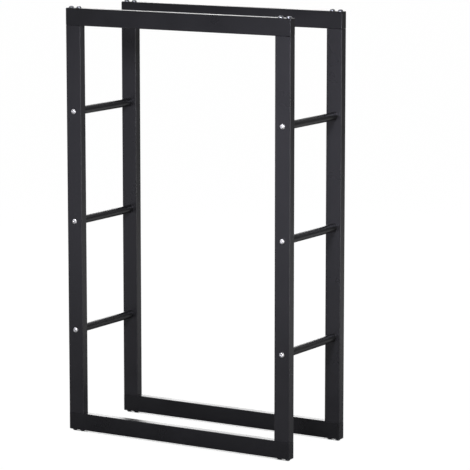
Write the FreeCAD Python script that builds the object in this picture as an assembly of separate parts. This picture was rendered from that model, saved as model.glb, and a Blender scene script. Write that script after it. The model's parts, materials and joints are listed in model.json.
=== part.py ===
import FreeCAD, Part
import math
import os

# A free-standing firewood rack of bolted steel tube, in millimetres.
#
# Two upright rectangular frames, one at the front and one at the rear, are held apart by round
# crossbars on the left and right sides. Logs lie front to back on the two bottom rails. Each rail is
# bolted into the ends of its two uprights, and a bolt at each end pulls each crossbar against its
# uprights. The rack stands on the heads of its lowest bolts.
#
# The origin is on the floor at the centre of the footprint. +X is right, +Y is to the rear, +Z is up.

# Overall size
rack_width = 600.0
rack_depth = 250.0  # front face of the front tubes to rear face of the rear tubes
rack_height = 1000.0  # floor to the crowns of the highest bolt heads

# Rectangular frame tube, the same for rails and uprights
tube_face = 40.0  # the wide side, which faces front and rear
tube_side = 20.0
tube_wall = 1.2
tube_inner_corner = 0.8  # inside corner radius

# Round crossbars
bar_diameter = 19.0
bar_wall = 1.2
bar_pitch = 257.0  # height from one crossbar to the next
bar_steps = {"upper": 1, "middle": 0, "lower": -1}  # steps of bar_pitch from mid height

# Round-head socket bolts
bolt_diameter = 6.0
bolt_tip_chamfer = 0.8
head_overhang = 3.0  # how far the head stands out past the shank
head_height = 4.0
head_rim = 0.8  # straight rim at the foot of the dome
head_dome_run = 2.8  # from the rim in to the flat crown
head_dome_radius = 4.2
socket_width = 4.0  # across the flats
socket_depth = 2.1
corner_bolt_inset = 9.5  # from the side of an upright in to a corner bolt
corner_bolt_tip = 2.0  # how far a corner bolt passes its nut
bar_bolt_grip = 11.0  # how far a crossbar bolt screws into its insert

# Hexagon nuts welded inside the upright ends
nut_land = 2.0  # from the thread out to a flat
nut_height = 5.0

# Plates welded into the upright ends
plate_thickness = 3.0

# Tapped inserts pressed into the crossbar ends
insert_length = 15.0

# Plastic caps in the rail ends
cap_flange = 3.0
cap_edge_round = 1.6
cap_leg_length = 12.0
cap_leg_thickness = 2.0
cap_rib_count = 2  # gripping ribs on each leg
cap_rib_height = 0.5
cap_rib_length = 1.5
fillet_limit = 0.85  # largest share of a corner or a wall that a fillet takes

# Clearances, each on one side of the piece
hole_clearance = 0.25  # bolt in a drilled hole
thread_clearance = 0.05  # bolt in a tapped hole, which is a plain bore here
weld_clearance = 0.1  # end plate in its tube
press_clearance = 0.02  # insert in its crossbar
cap_clearance = 0.15  # cap rib from the tube wall

# Sizes and places that follow
tube_corner = tube_inner_corner + tube_wall
tube_inner_face = tube_face - 2 * tube_wall
tube_inner_side = tube_side - 2 * tube_wall
bar_inner_diameter = bar_diameter - 2 * bar_wall
bar_length = rack_depth - 2 * tube_side
rail_length = rack_width - 2 * cap_flange
frame_bottom = head_height
frame_top = rack_height - head_height
upright_bottom = frame_bottom + tube_face
upright_top = frame_top - tube_face
mid_height = (frame_bottom + frame_top) / 2
frame_offset = (rack_depth - tube_side) / 2  # from the rack's middle to the middle of a frame
upright_offset = (rack_width - tube_face) / 2  # from the rack's middle to the middle of an upright
corner_bolt_offset = tube_face / 2 - corner_bolt_inset  # from the middle of an upright to a corner bolt
corner_bolt_length = tube_face + plate_thickness + nut_height + corner_bolt_tip
bar_bolt_length = tube_side + bar_bolt_grip
hole_radius = bolt_diameter / 2 + hole_clearance
thread_radius = bolt_diameter / 2 + thread_clearance

frame_middles = {"front": -frame_offset, "rear": frame_offset}
upright_middles = {"left": -upright_offset, "right": upright_offset}
rail_middles = {"top": frame_top - tube_face / 2, "bottom": frame_bottom + tube_face / 2}
bar_heights = {level: mid_height + step * bar_pitch for level, step in bar_steps.items()}

origin = FreeCAD.Vector(0, 0, 0)
x_axis = FreeCAD.Vector(1, 0, 0)
y_axis = FreeCAD.Vector(0, 1, 0)
z_axis = FreeCAD.Vector(0, 0, 1)


def rounded_prism(along_x, along_y, height, radius):
    """A prism on the XY plane whose section is a rectangle with round corners, centred on the Z axis."""
    arcs = []
    for quarter in range(4):
        angles = [math.radians(90 * quarter + turn) for turn in (0, 45, 90)]
        corner = FreeCAD.Vector(
            math.copysign(along_x / 2 - radius, math.cos(angles[1])),
            math.copysign(along_y / 2 - radius, math.sin(angles[1])),
            0,
        )
        arcs.append([corner + FreeCAD.Vector(math.cos(a), math.sin(a), 0) * radius for a in angles])
    edges = []
    for arc, next_arc in zip(arcs, arcs[1:] + arcs[:1]):
        edges.append(Part.Arc(*arc).toShape())
        edges.append(Part.LineSegment(arc[-1], next_arc[0]).toShape())
    return Part.Face(Part.Wire(edges)).extrude(z_axis * height)


def hexagon_prism(across_flats, height):
    """A hexagon prism on the XY plane, with two of its flats facing along X."""
    radius = across_flats / math.sqrt(3)
    angles = [math.radians(30 + 60 * i) for i in range(7)]
    corners = [FreeCAD.Vector(radius * math.cos(a), radius * math.sin(a), 0) for a in angles]
    return Part.Face(Part.makePolygon(corners)).extrude(z_axis * height)


def frame_tube(length):
    """The rectangular tube standing on the XY plane, with its wide side along X."""
    outside = rounded_prism(tube_face, tube_side, length, tube_corner)
    inside = rounded_prism(tube_inner_face, tube_inner_side, length, tube_inner_corner)
    return outside.cut(inside)


def corner_bolt_places(upright_x):
    """X of the two corner bolts of an upright."""
    return (upright_x - corner_bolt_offset, upright_x + corner_bolt_offset)


def make_rail(frame_y, rail_z):
    """A rail as wide as the rack, less its two cap flanges, drilled through for its four corner bolts."""
    rail = frame_tube(rail_length)
    rail.rotate(origin, y_axis, 90)
    rail.translate(FreeCAD.Vector(-rail_length / 2, frame_y, rail_z))
    for upright_x in upright_middles.values():
        for x in corner_bolt_places(upright_x):
            underside = FreeCAD.Vector(x, frame_y, rail_z - tube_face / 2)
            rail = rail.cut(Part.makeCylinder(hole_radius, tube_face, underside, z_axis))
    return rail


def make_upright(upright_x, frame_y):
    """An upright between the two rails, drilled through from front to rear for its crossbar bolts."""
    upright = frame_tube(upright_top - upright_bottom)
    upright.translate(FreeCAD.Vector(upright_x, frame_y, upright_bottom))
    for z in bar_heights.values():
        front = FreeCAD.Vector(upright_x, frame_y - tube_side / 2, z)
        upright = upright.cut(Part.makeCylinder(hole_radius, tube_side, front, y_axis))
    return upright


def make_end_plate(upright_x, frame_y, plate_z):
    """The plate welded flush into one end of an upright, with a hole for each corner bolt."""
    plate = rounded_prism(
        tube_inner_face - 2 * weld_clearance,
        tube_inner_side - 2 * weld_clearance,
        plate_thickness,
        tube_inner_corner,
    )
    plate.translate(FreeCAD.Vector(upright_x, frame_y, plate_z))
    for x in corner_bolt_places(upright_x):
        hole = Part.makeCylinder(hole_radius, plate_thickness, FreeCAD.Vector(x, frame_y, plate_z), z_axis)
        plate = plate.cut(hole)
    return plate


def make_weld_nuts(upright_x, frame_y):
    """The four nuts of an upright, two behind each end plate."""
    nuts = []
    for nut_z in (upright_bottom + plate_thickness, upright_top - plate_thickness - nut_height):
        for x in corner_bolt_places(upright_x):
            nut = hexagon_prism(bolt_diameter + 2 * nut_land, nut_height)
            nut = nut.cut(Part.makeCylinder(thread_radius, nut_height))
            nut.translate(FreeCAD.Vector(x, frame_y, nut_z))
            nuts.append(nut)
    return nuts


def make_crossbar(upright_x, bar_z):
    """A round tube from the front upright to the rear one."""
    front = FreeCAD.Vector(upright_x, -bar_length / 2, bar_z)
    outside = Part.makeCylinder(bar_diameter / 2, bar_length, front, y_axis)
    return outside.cut(Part.makeCylinder(bar_inner_diameter / 2, bar_length, front, y_axis))


def make_inserts(upright_x, bar_z):
    """The two tapped plugs of a crossbar, flush with its ends."""
    inserts = []
    for front_y in (-bar_length / 2, bar_length / 2 - insert_length):
        front = FreeCAD.Vector(upright_x, front_y, bar_z)
        plug = Part.makeCylinder(bar_inner_diameter / 2 - press_clearance, insert_length, front, y_axis)
        inserts.append(plug.cut(Part.makeCylinder(thread_radius, insert_length, front, y_axis)))
    return inserts


def make_end_cap(sign, frame_y, rail_z):
    """A cap: a flange that closes the rail's end and two ribbed legs that grip the tube's side walls."""
    flange = rounded_prism(tube_face, tube_side, cap_flange, tube_corner)
    outer_edges = [edge for edge in flange.Edges if edge.BoundBox.ZMin > cap_flange / 2]
    edge_round = min(cap_edge_round, fillet_limit * tube_corner, fillet_limit * cap_flange)
    cap = flange.makeFillet(edge_round, outer_edges)
    leg_width = tube_inner_face - 2 * tube_corner
    leg_outside = tube_inner_side / 2 - cap_clearance - cap_rib_height
    leg_inside = leg_outside - cap_leg_thickness
    leg_corner = FreeCAD.Vector(-leg_width / 2, leg_inside, -cap_leg_length)
    legs = [Part.makeBox(leg_width, cap_leg_thickness, cap_leg_length, leg_corner)]
    for i in range(cap_rib_count):
        rib_z = -cap_leg_length * (i + 1) / (cap_rib_count + 1) - cap_rib_length / 2
        rib_corner = FreeCAD.Vector(-leg_width / 2, leg_outside, rib_z)
        legs.append(Part.makeBox(leg_width, cap_rib_height, cap_rib_length, rib_corner))
    legs += [leg.mirror(origin, y_axis) for leg in legs]
    cap = cap.fuse(legs).removeSplitter()
    cap.rotate(origin, y_axis, sign * 90)
    cap.translate(FreeCAD.Vector(sign * rail_length / 2, frame_y, rail_z))
    return cap


def make_bolt(length):
    """A bolt whose domed head stands on the XY plane and whose shank reaches down the Z axis."""
    shank_radius = bolt_diameter / 2
    head_radius = shank_radius + head_overhang
    tip = FreeCAD.Vector(0, 0, -length)
    tip_edge = FreeCAD.Vector(shank_radius - bolt_tip_chamfer, 0, -length)
    shank_end = FreeCAD.Vector(shank_radius, 0, -length + bolt_tip_chamfer)
    neck = FreeCAD.Vector(shank_radius, 0, 0)
    seat_edge = FreeCAD.Vector(head_radius, 0, 0)
    rim = FreeCAD.Vector(head_radius, 0, head_rim)
    crown_edge = FreeCAD.Vector(head_radius - head_dome_run, 0, head_height)
    crown = FreeCAD.Vector(0, 0, head_height)
    chord = crown_edge - rim
    outward = FreeCAD.Vector(chord.z, 0, -chord.x).normalize()
    bulge = head_dome_radius - math.sqrt(head_dome_radius**2 - (chord.Length / 2) ** 2)
    dome = Part.Arc(rim, rim + chord / 2 + outward * bulge, crown_edge).toShape()
    below = Part.makePolygon([crown, tip, tip_edge, shank_end, neck, seat_edge, rim])
    above = Part.makePolygon([crown_edge, crown])
    profile = Part.Face(Part.Wire(below.Edges + [dome] + above.Edges))
    socket = hexagon_prism(socket_width, socket_depth)
    socket.translate(FreeCAD.Vector(0, 0, head_height - socket_depth))
    return profile.revolve(origin, z_axis, 360).cut(socket)


def make_corner_bolts(upright_x, frame_y, seat_z, turn):
    """The two bolts that clamp a rail's end to an upright, with their heads on the rail's outer side."""
    bolts = []
    for x in corner_bolt_places(upright_x):
        bolt = make_bolt(corner_bolt_length)
        bolt.rotate(origin, x_axis, turn)
        bolt.translate(FreeCAD.Vector(x, frame_y, seat_z))
        bolts.append(bolt)
    return bolts


def make_crossbar_bolts(upright_x, sign):
    """The bolts that pull the crossbars of one side against a frame, with their heads on its outer face."""
    bolts = []
    for z in bar_heights.values():
        bolt = make_bolt(bar_bolt_length)
        bolt.rotate(origin, x_axis, -sign * 90)
        bolt.translate(FreeCAD.Vector(upright_x, sign * rack_depth / 2, z))
        bolts.append(bolt)
    return bolts


def make_frame(frame, frame_y):
    """The nodes of the front or the rear frame: rails with their caps, and uprights with their fixings."""
    nodes = {}
    for level, rail_z in rail_middles.items():
        nodes[f"{frame}_{level}_rail"] = [make_rail(frame_y, rail_z)]
        for side, upright_x in upright_middles.items():
            sign = math.copysign(1, upright_x)
            nodes[f"{frame}_{side}_{level}_end_cap"] = [make_end_cap(sign, frame_y, rail_z)]
    for side, upright_x in upright_middles.items():
        corner = f"{frame}_{side}"
        top_plate_z = upright_top - plate_thickness
        nodes[f"{corner}_upright"] = [make_upright(upright_x, frame_y)]
        nodes[f"{corner}_top_end_plate"] = [make_end_plate(upright_x, frame_y, top_plate_z)]
        nodes[f"{corner}_bottom_end_plate"] = [make_end_plate(upright_x, frame_y, upright_bottom)]
        nodes[f"{corner}_weld_nuts"] = make_weld_nuts(upright_x, frame_y)
        nodes[f"{corner}_top_corner_bolts"] = make_corner_bolts(upright_x, frame_y, frame_top, 0)
        nodes[f"{corner}_bottom_corner_bolts"] = make_corner_bolts(upright_x, frame_y, frame_bottom, 180)
        nodes[f"{corner}_crossbar_bolts"] = make_crossbar_bolts(upright_x, math.copysign(1, frame_y))
    return nodes


def make_side(side, upright_x):
    """The nodes between the frames on one side: crossbars and the inserts in their ends."""
    nodes = {}
    for level, bar_z in bar_heights.items():
        nodes[f"{side}_{level}_crossbar"] = [make_crossbar(upright_x, bar_z)]
        nodes[f"{side}_{level}_crossbar_inserts"] = make_inserts(upright_x, bar_z)
    return nodes


def main():
    nodes = {}
    for frame, frame_y in frame_middles.items():
        nodes.update(make_frame(frame, frame_y))
    for side, upright_x in upright_middles.items():
        nodes.update(make_side(side, upright_x))
    os.makedirs("parts", exist_ok=True)
    for name, solids in nodes.items():
        shape = solids[0] if len(solids) == 1 else Part.makeCompound(solids)
        shape.exportStep(f"parts/{name}.step")
        print(name, len(shape.Solids), "solids", round(shape.Volume / 1000, 2), "cm3", shape.isValid())
    print(len(nodes), "nodes")


main()
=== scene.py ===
import bpy
import json
import math
import numpy as np
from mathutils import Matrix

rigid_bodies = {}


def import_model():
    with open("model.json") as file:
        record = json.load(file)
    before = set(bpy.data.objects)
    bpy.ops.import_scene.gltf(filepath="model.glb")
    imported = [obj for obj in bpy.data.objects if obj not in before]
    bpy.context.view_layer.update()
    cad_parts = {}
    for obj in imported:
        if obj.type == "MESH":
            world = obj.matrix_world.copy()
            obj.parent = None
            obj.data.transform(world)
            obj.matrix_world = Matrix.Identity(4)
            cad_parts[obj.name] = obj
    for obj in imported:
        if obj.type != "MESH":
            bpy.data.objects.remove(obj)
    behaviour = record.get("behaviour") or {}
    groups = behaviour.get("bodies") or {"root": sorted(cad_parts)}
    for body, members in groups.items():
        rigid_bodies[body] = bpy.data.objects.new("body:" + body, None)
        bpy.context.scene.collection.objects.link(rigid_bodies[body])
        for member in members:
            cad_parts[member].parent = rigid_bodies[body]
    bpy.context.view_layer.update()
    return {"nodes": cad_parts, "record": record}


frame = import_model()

print("frame loaded:", len(frame["nodes"]), "nodes")


# Node helpers shared by the materials

noiseSpan = (0.3, 0.7)  # most values of a noise texture lie between these


def newMaterial(name):
    material = bpy.data.materials.new(name)
    material.use_nodes = True
    tree = material.node_tree
    shader = tree.nodes["Principled BSDF"]
    return material, tree, shader


def objectCoordinates(tree, stretch=(1, 1, 1)):
    place = tree.nodes.new("ShaderNodeTexCoord")
    mapping = tree.nodes.new("ShaderNodeMapping")
    mapping.inputs["Scale"].default_value = stretch
    tree.links.new(place.outputs["Object"], mapping.inputs["Vector"])
    return mapping.outputs["Vector"]


def noise(tree, vector, scale, detail, roughness=0.5):
    node = tree.nodes.new("ShaderNodeTexNoise")
    node.inputs["Scale"].default_value = scale  # features per metre
    node.inputs["Detail"].default_value = detail
    node.inputs["Roughness"].default_value = roughness
    tree.links.new(vector, node.inputs["Vector"])
    return node.outputs["Fac"]


def ramp(tree, fac, low, high, span):
    node = tree.nodes.new("ShaderNodeValToRGB")
    node.color_ramp.elements[0].position = span[0]
    node.color_ramp.elements[1].position = span[1]
    node.color_ramp.elements[0].color = (*low, 1)
    node.color_ramp.elements[1].color = (*high, 1)
    tree.links.new(fac, node.inputs["Fac"])
    return node.outputs["Color"]


def spread(tree, fac, low, high, span):
    node = tree.nodes.new("ShaderNodeMapRange")
    node.inputs["From Min"].default_value = span[0]
    node.inputs["From Max"].default_value = span[1]
    node.inputs["To Min"].default_value = low
    node.inputs["To Max"].default_value = high
    tree.links.new(fac, node.inputs["Value"])
    return node.outputs["Result"]


def colourAndRoughness(tree, shader, fac, look):
    colour = ramp(tree, fac, look["dark"], look["light"], noiseSpan)
    roughness = spread(tree, fac, *look["roughness"], noiseSpan)
    tree.links.new(colour, shader.inputs["Base Color"])
    tree.links.new(roughness, shader.inputs["Roughness"])


def combine(tree, operation, first, second):
    node = tree.nodes.new("ShaderNodeMath")
    node.operation = operation
    tree.links.new(first, node.inputs[0])
    tree.links.new(second, node.inputs[1])
    return node.outputs["Value"]


def shinyRay(tree, rays):
    return combine(tree, "MAXIMUM", rays.outputs["Is Glossy Ray"], rays.outputs["Is Transmission Ray"])


def bump(tree, shader, height, strength, depth):
    node = tree.nodes.new("ShaderNodeBump")
    node.inputs["Strength"].default_value = strength
    node.inputs["Distance"].default_value = depth  # metres
    tree.links.new(height, node.inputs["Height"])
    tree.links.new(node.outputs["Normal"], shader.inputs["Normal"])


# Satin black powder coat of uprights and end plates, and a darker one of rails and crossbars

powderCoat = {
    "dark": (0.0178, 0.0176, 0.0185),
    "light": (0.0218, 0.0216, 0.0226),
    "roughness": (0.27, 0.35),
    "specularLevel": 0.5,
    "cloudScale": 14,  # slow changes in the coat's thickness, per metre
    "peelScale": 520,  # orange peel, per metre
    "peelDepth": 0.00006,  # metres
    "peelStrength": 0.22,
}
darkerCoat = dict(
    powderCoat,
    dark=(0.0098, 0.0098, 0.0103),
    light=(0.0126, 0.0126, 0.0132),
)


def makePowderCoat(name, look):
    material, tree, shader = newMaterial(name)
    vector = objectCoordinates(tree)
    cloud = noise(tree, vector, look["cloudScale"], detail=3)
    peel = noise(tree, vector, look["peelScale"], detail=2)
    colourAndRoughness(tree, shader, cloud, look)
    shader.inputs["Specular IOR Level"].default_value = look["specularLevel"]
    bump(tree, shader, peel, look["peelStrength"], look["peelDepth"])
    return material


# Moulded black plastic of the rail end caps

capPlastic = {
    "dark": (0.0100, 0.0100, 0.0108),
    "light": (0.0140, 0.0140, 0.0150),
    "roughness": (0.32, 0.40),
    "specularLevel": 0.5,
    "grainScale": 900,  # spark-eroded grain, per metre
    "grainDepth": 0.00005,  # metres
    "grainStrength": 0.3,
}


def makeCapPlastic(look):
    material, tree, shader = newMaterial("mouldedBlackPlastic")
    vector = objectCoordinates(tree)
    grain = noise(tree, vector, look["grainScale"], detail=4, roughness=0.6)
    colourAndRoughness(tree, shader, grain, look)
    shader.inputs["Specular IOR Level"].default_value = look["specularLevel"]
    bump(tree, shader, grain, look["grainStrength"], look["grainDepth"])
    return material


# Bright zinc plating of the crossbar bolts, and a darker copy of it on the corner bolts, whose darker
# colour is painted shade for the dim surroundings their tops reflect

zincPlating = {
    "dark": (0.86, 0.855, 0.83),
    "light": (0.96, 0.955, 0.935),
    "roughness": (0.52, 0.62),
    "spangleScale": 420,  # patches in the plating, per metre
    "scratchScale": 1500,  # per metre
    "scratchDepth": 0.00002,  # metres
    "scratchStrength": 0.2,
}
# same zinc coloured darker: painted shade for the dim surroundings the corner bolts' tops reflect
shadedCornerZinc = dict(
    zincPlating,
    dark=(0.34, 0.35, 0.37),
    light=(0.46, 0.47, 0.49),
    roughness=(0.36, 0.46),
)


def makeZincPlating(name, look):
    material, tree, shader = newMaterial(name)
    vector = objectCoordinates(tree)
    spangle = noise(tree, vector, look["spangleScale"], detail=2)
    scratch = noise(tree, vector, look["scratchScale"], detail=3)
    colourAndRoughness(tree, shader, spangle, look)
    shader.inputs["Metallic"].default_value = 1
    bump(tree, shader, scratch, look["scratchStrength"], look["scratchDepth"])
    return material


# Turned bare steel of the weld nuts and crossbar inserts

bareSteel = {
    "dark": (0.30, 0.30, 0.31),
    "light": (0.46, 0.46, 0.47),
    "roughness": (0.30, 0.46),
    "turningStretch": (400, 2400, 400),  # turning marks are close together along the bar
}


def makeBareSteel(look):
    material, tree, shader = newMaterial("turnedBareSteel")
    vector = objectCoordinates(tree, look["turningStretch"])
    marks = noise(tree, vector, scale=1, detail=3)  # the stretch sets how fine the marks are
    colourAndRoughness(tree, shader, marks, look)
    shader.inputs["Metallic"].default_value = 1
    return material


finishes = {
    "black_powder_coat": makePowderCoat("satinBlackPowderCoat", powderCoat),
    "darker_coat": makePowderCoat("darkerBlackPowderCoat", darkerCoat),
    "black_plastic": makeCapPlastic(capPlastic),
    "zinc_plated_steel": makeZincPlating("brightZincPlating", zincPlating),
    "painted_shade_zinc": makeZincPlating("paintedShadeZincPlating", shadedCornerZinc),
    "plain_steel": makeBareSteel(bareSteel),
}
for subpart in frame["record"]["subparts"]:
    node = bpy.data.objects[subpart["node"]]
    node.data.materials.clear()
    finish = subpart["material_slot"]
    if node.name.endswith(("rail", "crossbar")):
        finish = "darker_coat"
    # the corner bolts take the zinc coloured darker as painted shade
    if node.name.endswith("corner_bolts"):
        finish = "painted_shade_zinc"
    node.data.materials.append(finishes[finish])


# Pale floor: a flat square grid, x = side * u and y = side * v with u and v from -1/2 to 1/2

floorLook = {
    "side": 26.0,  # metres
    "steps": 12,
    "colour": (0.15, 0.15, 0.15),
    "roughness": 0.9,
    "whiteShare": 0.93,  # part of what the camera sees of the floor that is plain white
    "whiteStrength": 1.07,  # so that the two parts together come to white
    "mirroredShare": 0.15,  # part of what reflections show of the floor that is plain white
    "mirroredSpan": (0.5, 2.5),  # metres from the rack's middle where that white starts and is full; nearer in is painted shadow
    "contactReach": 0.012,  # metres from the rack within which the white gives way to its shadow
    "contactSpan": (0.10, 0.16),  # share of open space above where the white starts and is full
    "contactSamples": 32,
}


def makeFloor(look):
    line = np.linspace(-0.5, 0.5, look["steps"] + 1) * look["side"]
    gridX, gridY = np.meshgrid(line, line)
    points = np.stack([gridX, gridY, np.zeros_like(gridX)], axis=-1).reshape(-1, 3)
    row = look["steps"] + 1
    first = (np.arange(look["steps"])[:, None] * row + np.arange(look["steps"])).ravel()
    faces = np.stack([first, first + 1, first + row + 1, first + row], axis=-1)
    mesh = bpy.data.meshes.new("floor")
    mesh.from_pydata(points.tolist(), [], faces.tolist())
    floor = bpy.data.objects.new("floor", mesh)
    bpy.context.collection.objects.link(floor)
    mesh.materials.append(makeFloorMaterial(look))


def makeFloorMaterial(look):
    material, tree, shader = newMaterial("paleFloor")
    shader.inputs["Base Color"].default_value = (*look["colour"], 1)
    shader.inputs["Roughness"].default_value = look["roughness"]
    shader.inputs["Specular IOR Level"].default_value = 0
    white = tree.nodes.new("ShaderNodeEmission")
    white.inputs["Strength"].default_value = look["whiteStrength"]
    rays = tree.nodes.new("ShaderNodeLightPath")
    mix = tree.nodes.new("ShaderNodeMixShader")
    # white to the camera, but for the shadow close under the rack
    contact = tree.nodes.new("ShaderNodeAmbientOcclusion")
    contact.inputs["Distance"].default_value = look["contactReach"]
    contact.samples = look["contactSamples"]
    openAbove = spread(tree, contact.outputs["AO"], 0, look["whiteShare"], look["contactSpan"])
    seen = combine(tree, "MULTIPLY", rays.outputs["Is Camera Ray"], openAbove)
    # partly white in reflections, and more so further from the rack: the less white near the rack is a
    # painted shadow of it
    fromRack = tree.nodes.new("ShaderNodeVectorMath")
    fromRack.operation = "LENGTH"
    tree.links.new(objectCoordinates(tree), fromRack.inputs[0])
    whiteBeyondPaintedShadow = spread(tree, fromRack.outputs["Value"], 0, look["mirroredShare"], look["mirroredSpan"])
    mirrored = combine(tree, "MULTIPLY", shinyRay(tree, rays), whiteBeyondPaintedShadow)
    tree.links.new(combine(tree, "MAXIMUM", seen, mirrored), mix.inputs["Fac"])
    tree.links.new(shader.outputs["BSDF"], mix.inputs[1])
    tree.links.new(white.outputs["Emission"], mix.inputs[2])
    tree.links.new(mix.outputs["Shader"], tree.nodes["Material Output"].inputs["Surface"])
    return material


makeFloor(floorLook)


# White studio round the rack: full white to the camera, and in reflections dim except behind on the left

studio = {
    "brightSide": (-0.55, 0.82, 0.14),  # direction of the brightest part
    "brightSpan": (0.5, 0.9),  # cosines from that direction where the studio is dim and bright
    "seen": (0.09, 1.0),  # dim and bright strength in reflections
    "light": 0.08,  # strength of the light that it gives
}


def makeStudio(look):
    world = bpy.data.worlds.new("studio")
    world.use_nodes = True
    bpy.context.scene.world = world
    tree = world.node_tree
    background = tree.nodes["Background"]
    background.inputs["Color"].default_value = (1, 1, 1, 1)
    rays = tree.nodes.new("ShaderNodeLightPath")
    direction = tree.nodes.new("ShaderNodeTexCoord")
    facing = tree.nodes.new("ShaderNodeVectorMath")
    facing.operation = "DOT_PRODUCT"
    facing.inputs[1].default_value = look["brightSide"]
    tree.links.new(direction.outputs["Generated"], facing.inputs[0])
    seen = spread(tree, facing.outputs["Value"], *look["seen"], look["brightSpan"])
    reflected = tree.nodes.new("ShaderNodeMix")
    reflected.inputs["A"].default_value = look["light"]
    tree.links.new(shinyRay(tree, rays), reflected.inputs["Factor"])
    tree.links.new(seen, reflected.inputs["B"])
    level = combine(tree, "MAXIMUM", reflected.outputs["Result"], rays.outputs["Is Camera Ray"])
    tree.links.new(level, background.inputs["Strength"])


makeStudio(studio)


# Soft lamps: each is a flat panel that faces a point, sizes in metres; some don't show in reflections

lamps = {
    "frontKey": {
        "place": (0.62, -1.35, 1.40), "aim": (0.1, 0, 0.85), "size": (0.4, 0.4), "watts": 27,
        "tint": (0.96, 0.95, 1.12), "reflected": True,
    },
    "overheadKey": {
        "place": (-0.7, -1.0, 4.2), "aim": (0, 0, 0.5), "size": (2.2, 2.2), "watts": 20,
        "tint": (1, 1, 1), "reflected": True,
    },
    "leftCard": {
        "place": (-1.02, -1.45, 0.40), "aim": (-0.50, -0.61, 0.40), "size": (0.52, 0.72), "watts": 0.63,
        "tint": (0.94, 0.92, 1.14), "reflected": True,
    },
    "rightCard": {
        "place": (-0.36, -1.45, 0.46), "aim": (0.16, -0.61, 0.46), "size": (0.52, 0.78), "watts": 0.48,
        "tint": (0.94, 0.92, 1.14), "reflected": True,
    },
    "edgePanel": {
        "place": (1.62, -0.62, 0.42), "aim": (0, 0, 0.42), "size": (1.5, 0.84), "watts": 10.5,
        "tint": (1, 1, 1), "reflected": True,
    },
    "backPanel": {
        "place": (-1.6, 2.6, 0.8), "aim": (0, 0, 0.6), "size": (1.6, 1.6), "watts": 20,
        "tint": (1, 1, 1), "reflected": True,
    },
    "leftPanel": {
        "place": (-3.0, 0.4, 1.3), "aim": (0, 0, 0.5), "size": (1.6, 1.6), "watts": 60,
        "tint": (1, 1, 1), "reflected": False,
    },
    "rearFill": {
        "place": (-1.2, 2.6, 2.0), "aim": (0, 0, 0.6), "size": (1.2, 1.2), "watts": 50,
        "tint": (1, 1, 1), "reflected": False,
    },
    "rearWash": {
        "place": (0.85, 1.85, 0.8), "aim": (0.85, 1.85, 0), "size": (3.0, 2.0), "watts": 66,
        "tint": (1, 1, 1), "reflected": False,
    },
}


def makeLamp(name, look):
    light = bpy.data.lights.new(name, "AREA")
    light.shape = "RECTANGLE"
    light.size, light.size_y = look["size"]
    light.energy = look["watts"]
    light.color = look["tint"]
    lamp = bpy.data.objects.new(name, light)
    bpy.context.collection.objects.link(lamp)
    lamp.visible_camera = False
    lamp.visible_glossy = look["reflected"]
    lamp.location = look["place"]
    towards = np.array(look["aim"]) - np.array(look["place"])
    across = math.hypot(towards[0], towards[1])
    tilt = math.atan2(across, -towards[2])  # a lamp without tilt shines straight down
    lamp.rotation_euler = (tilt, 0, math.atan2(-towards[0], towards[1]))


for lampName, lampLook in lamps.items():
    makeLamp(lampName, lampLook)
print("floor, studio and", len(lamps), "lamps ready")


# Camera at the photograph's viewing angle

viewpoint = {
    "place": (3.3060, -5.2713, 1.4719),  # metres
    "turn": 31.46,  # degrees to the left of straight ahead
    "dip": 9.11,  # degrees below level
    "lens": 208.6,  # mm
    "sensorWidth": 36,  # mm
    "farLimit": 100,  # metres
}


def makeCamera(look):
    data = bpy.data.cameras.new("viewpoint")
    data.sensor_width = look["sensorWidth"]
    data.lens = look["lens"]
    data.clip_end = look["farLimit"]
    camera = bpy.data.objects.new("viewpoint", data)
    bpy.context.collection.objects.link(camera)
    camera.location = look["place"]
    tilt = 90 - look["dip"]  # a camera without tilt looks straight down
    camera.rotation_euler = (math.radians(tilt), 0, math.radians(look["turn"]))
    bpy.context.scene.camera = camera


makeCamera(viewpoint)
bpy.context.scene.view_settings.view_transform = "Standard"
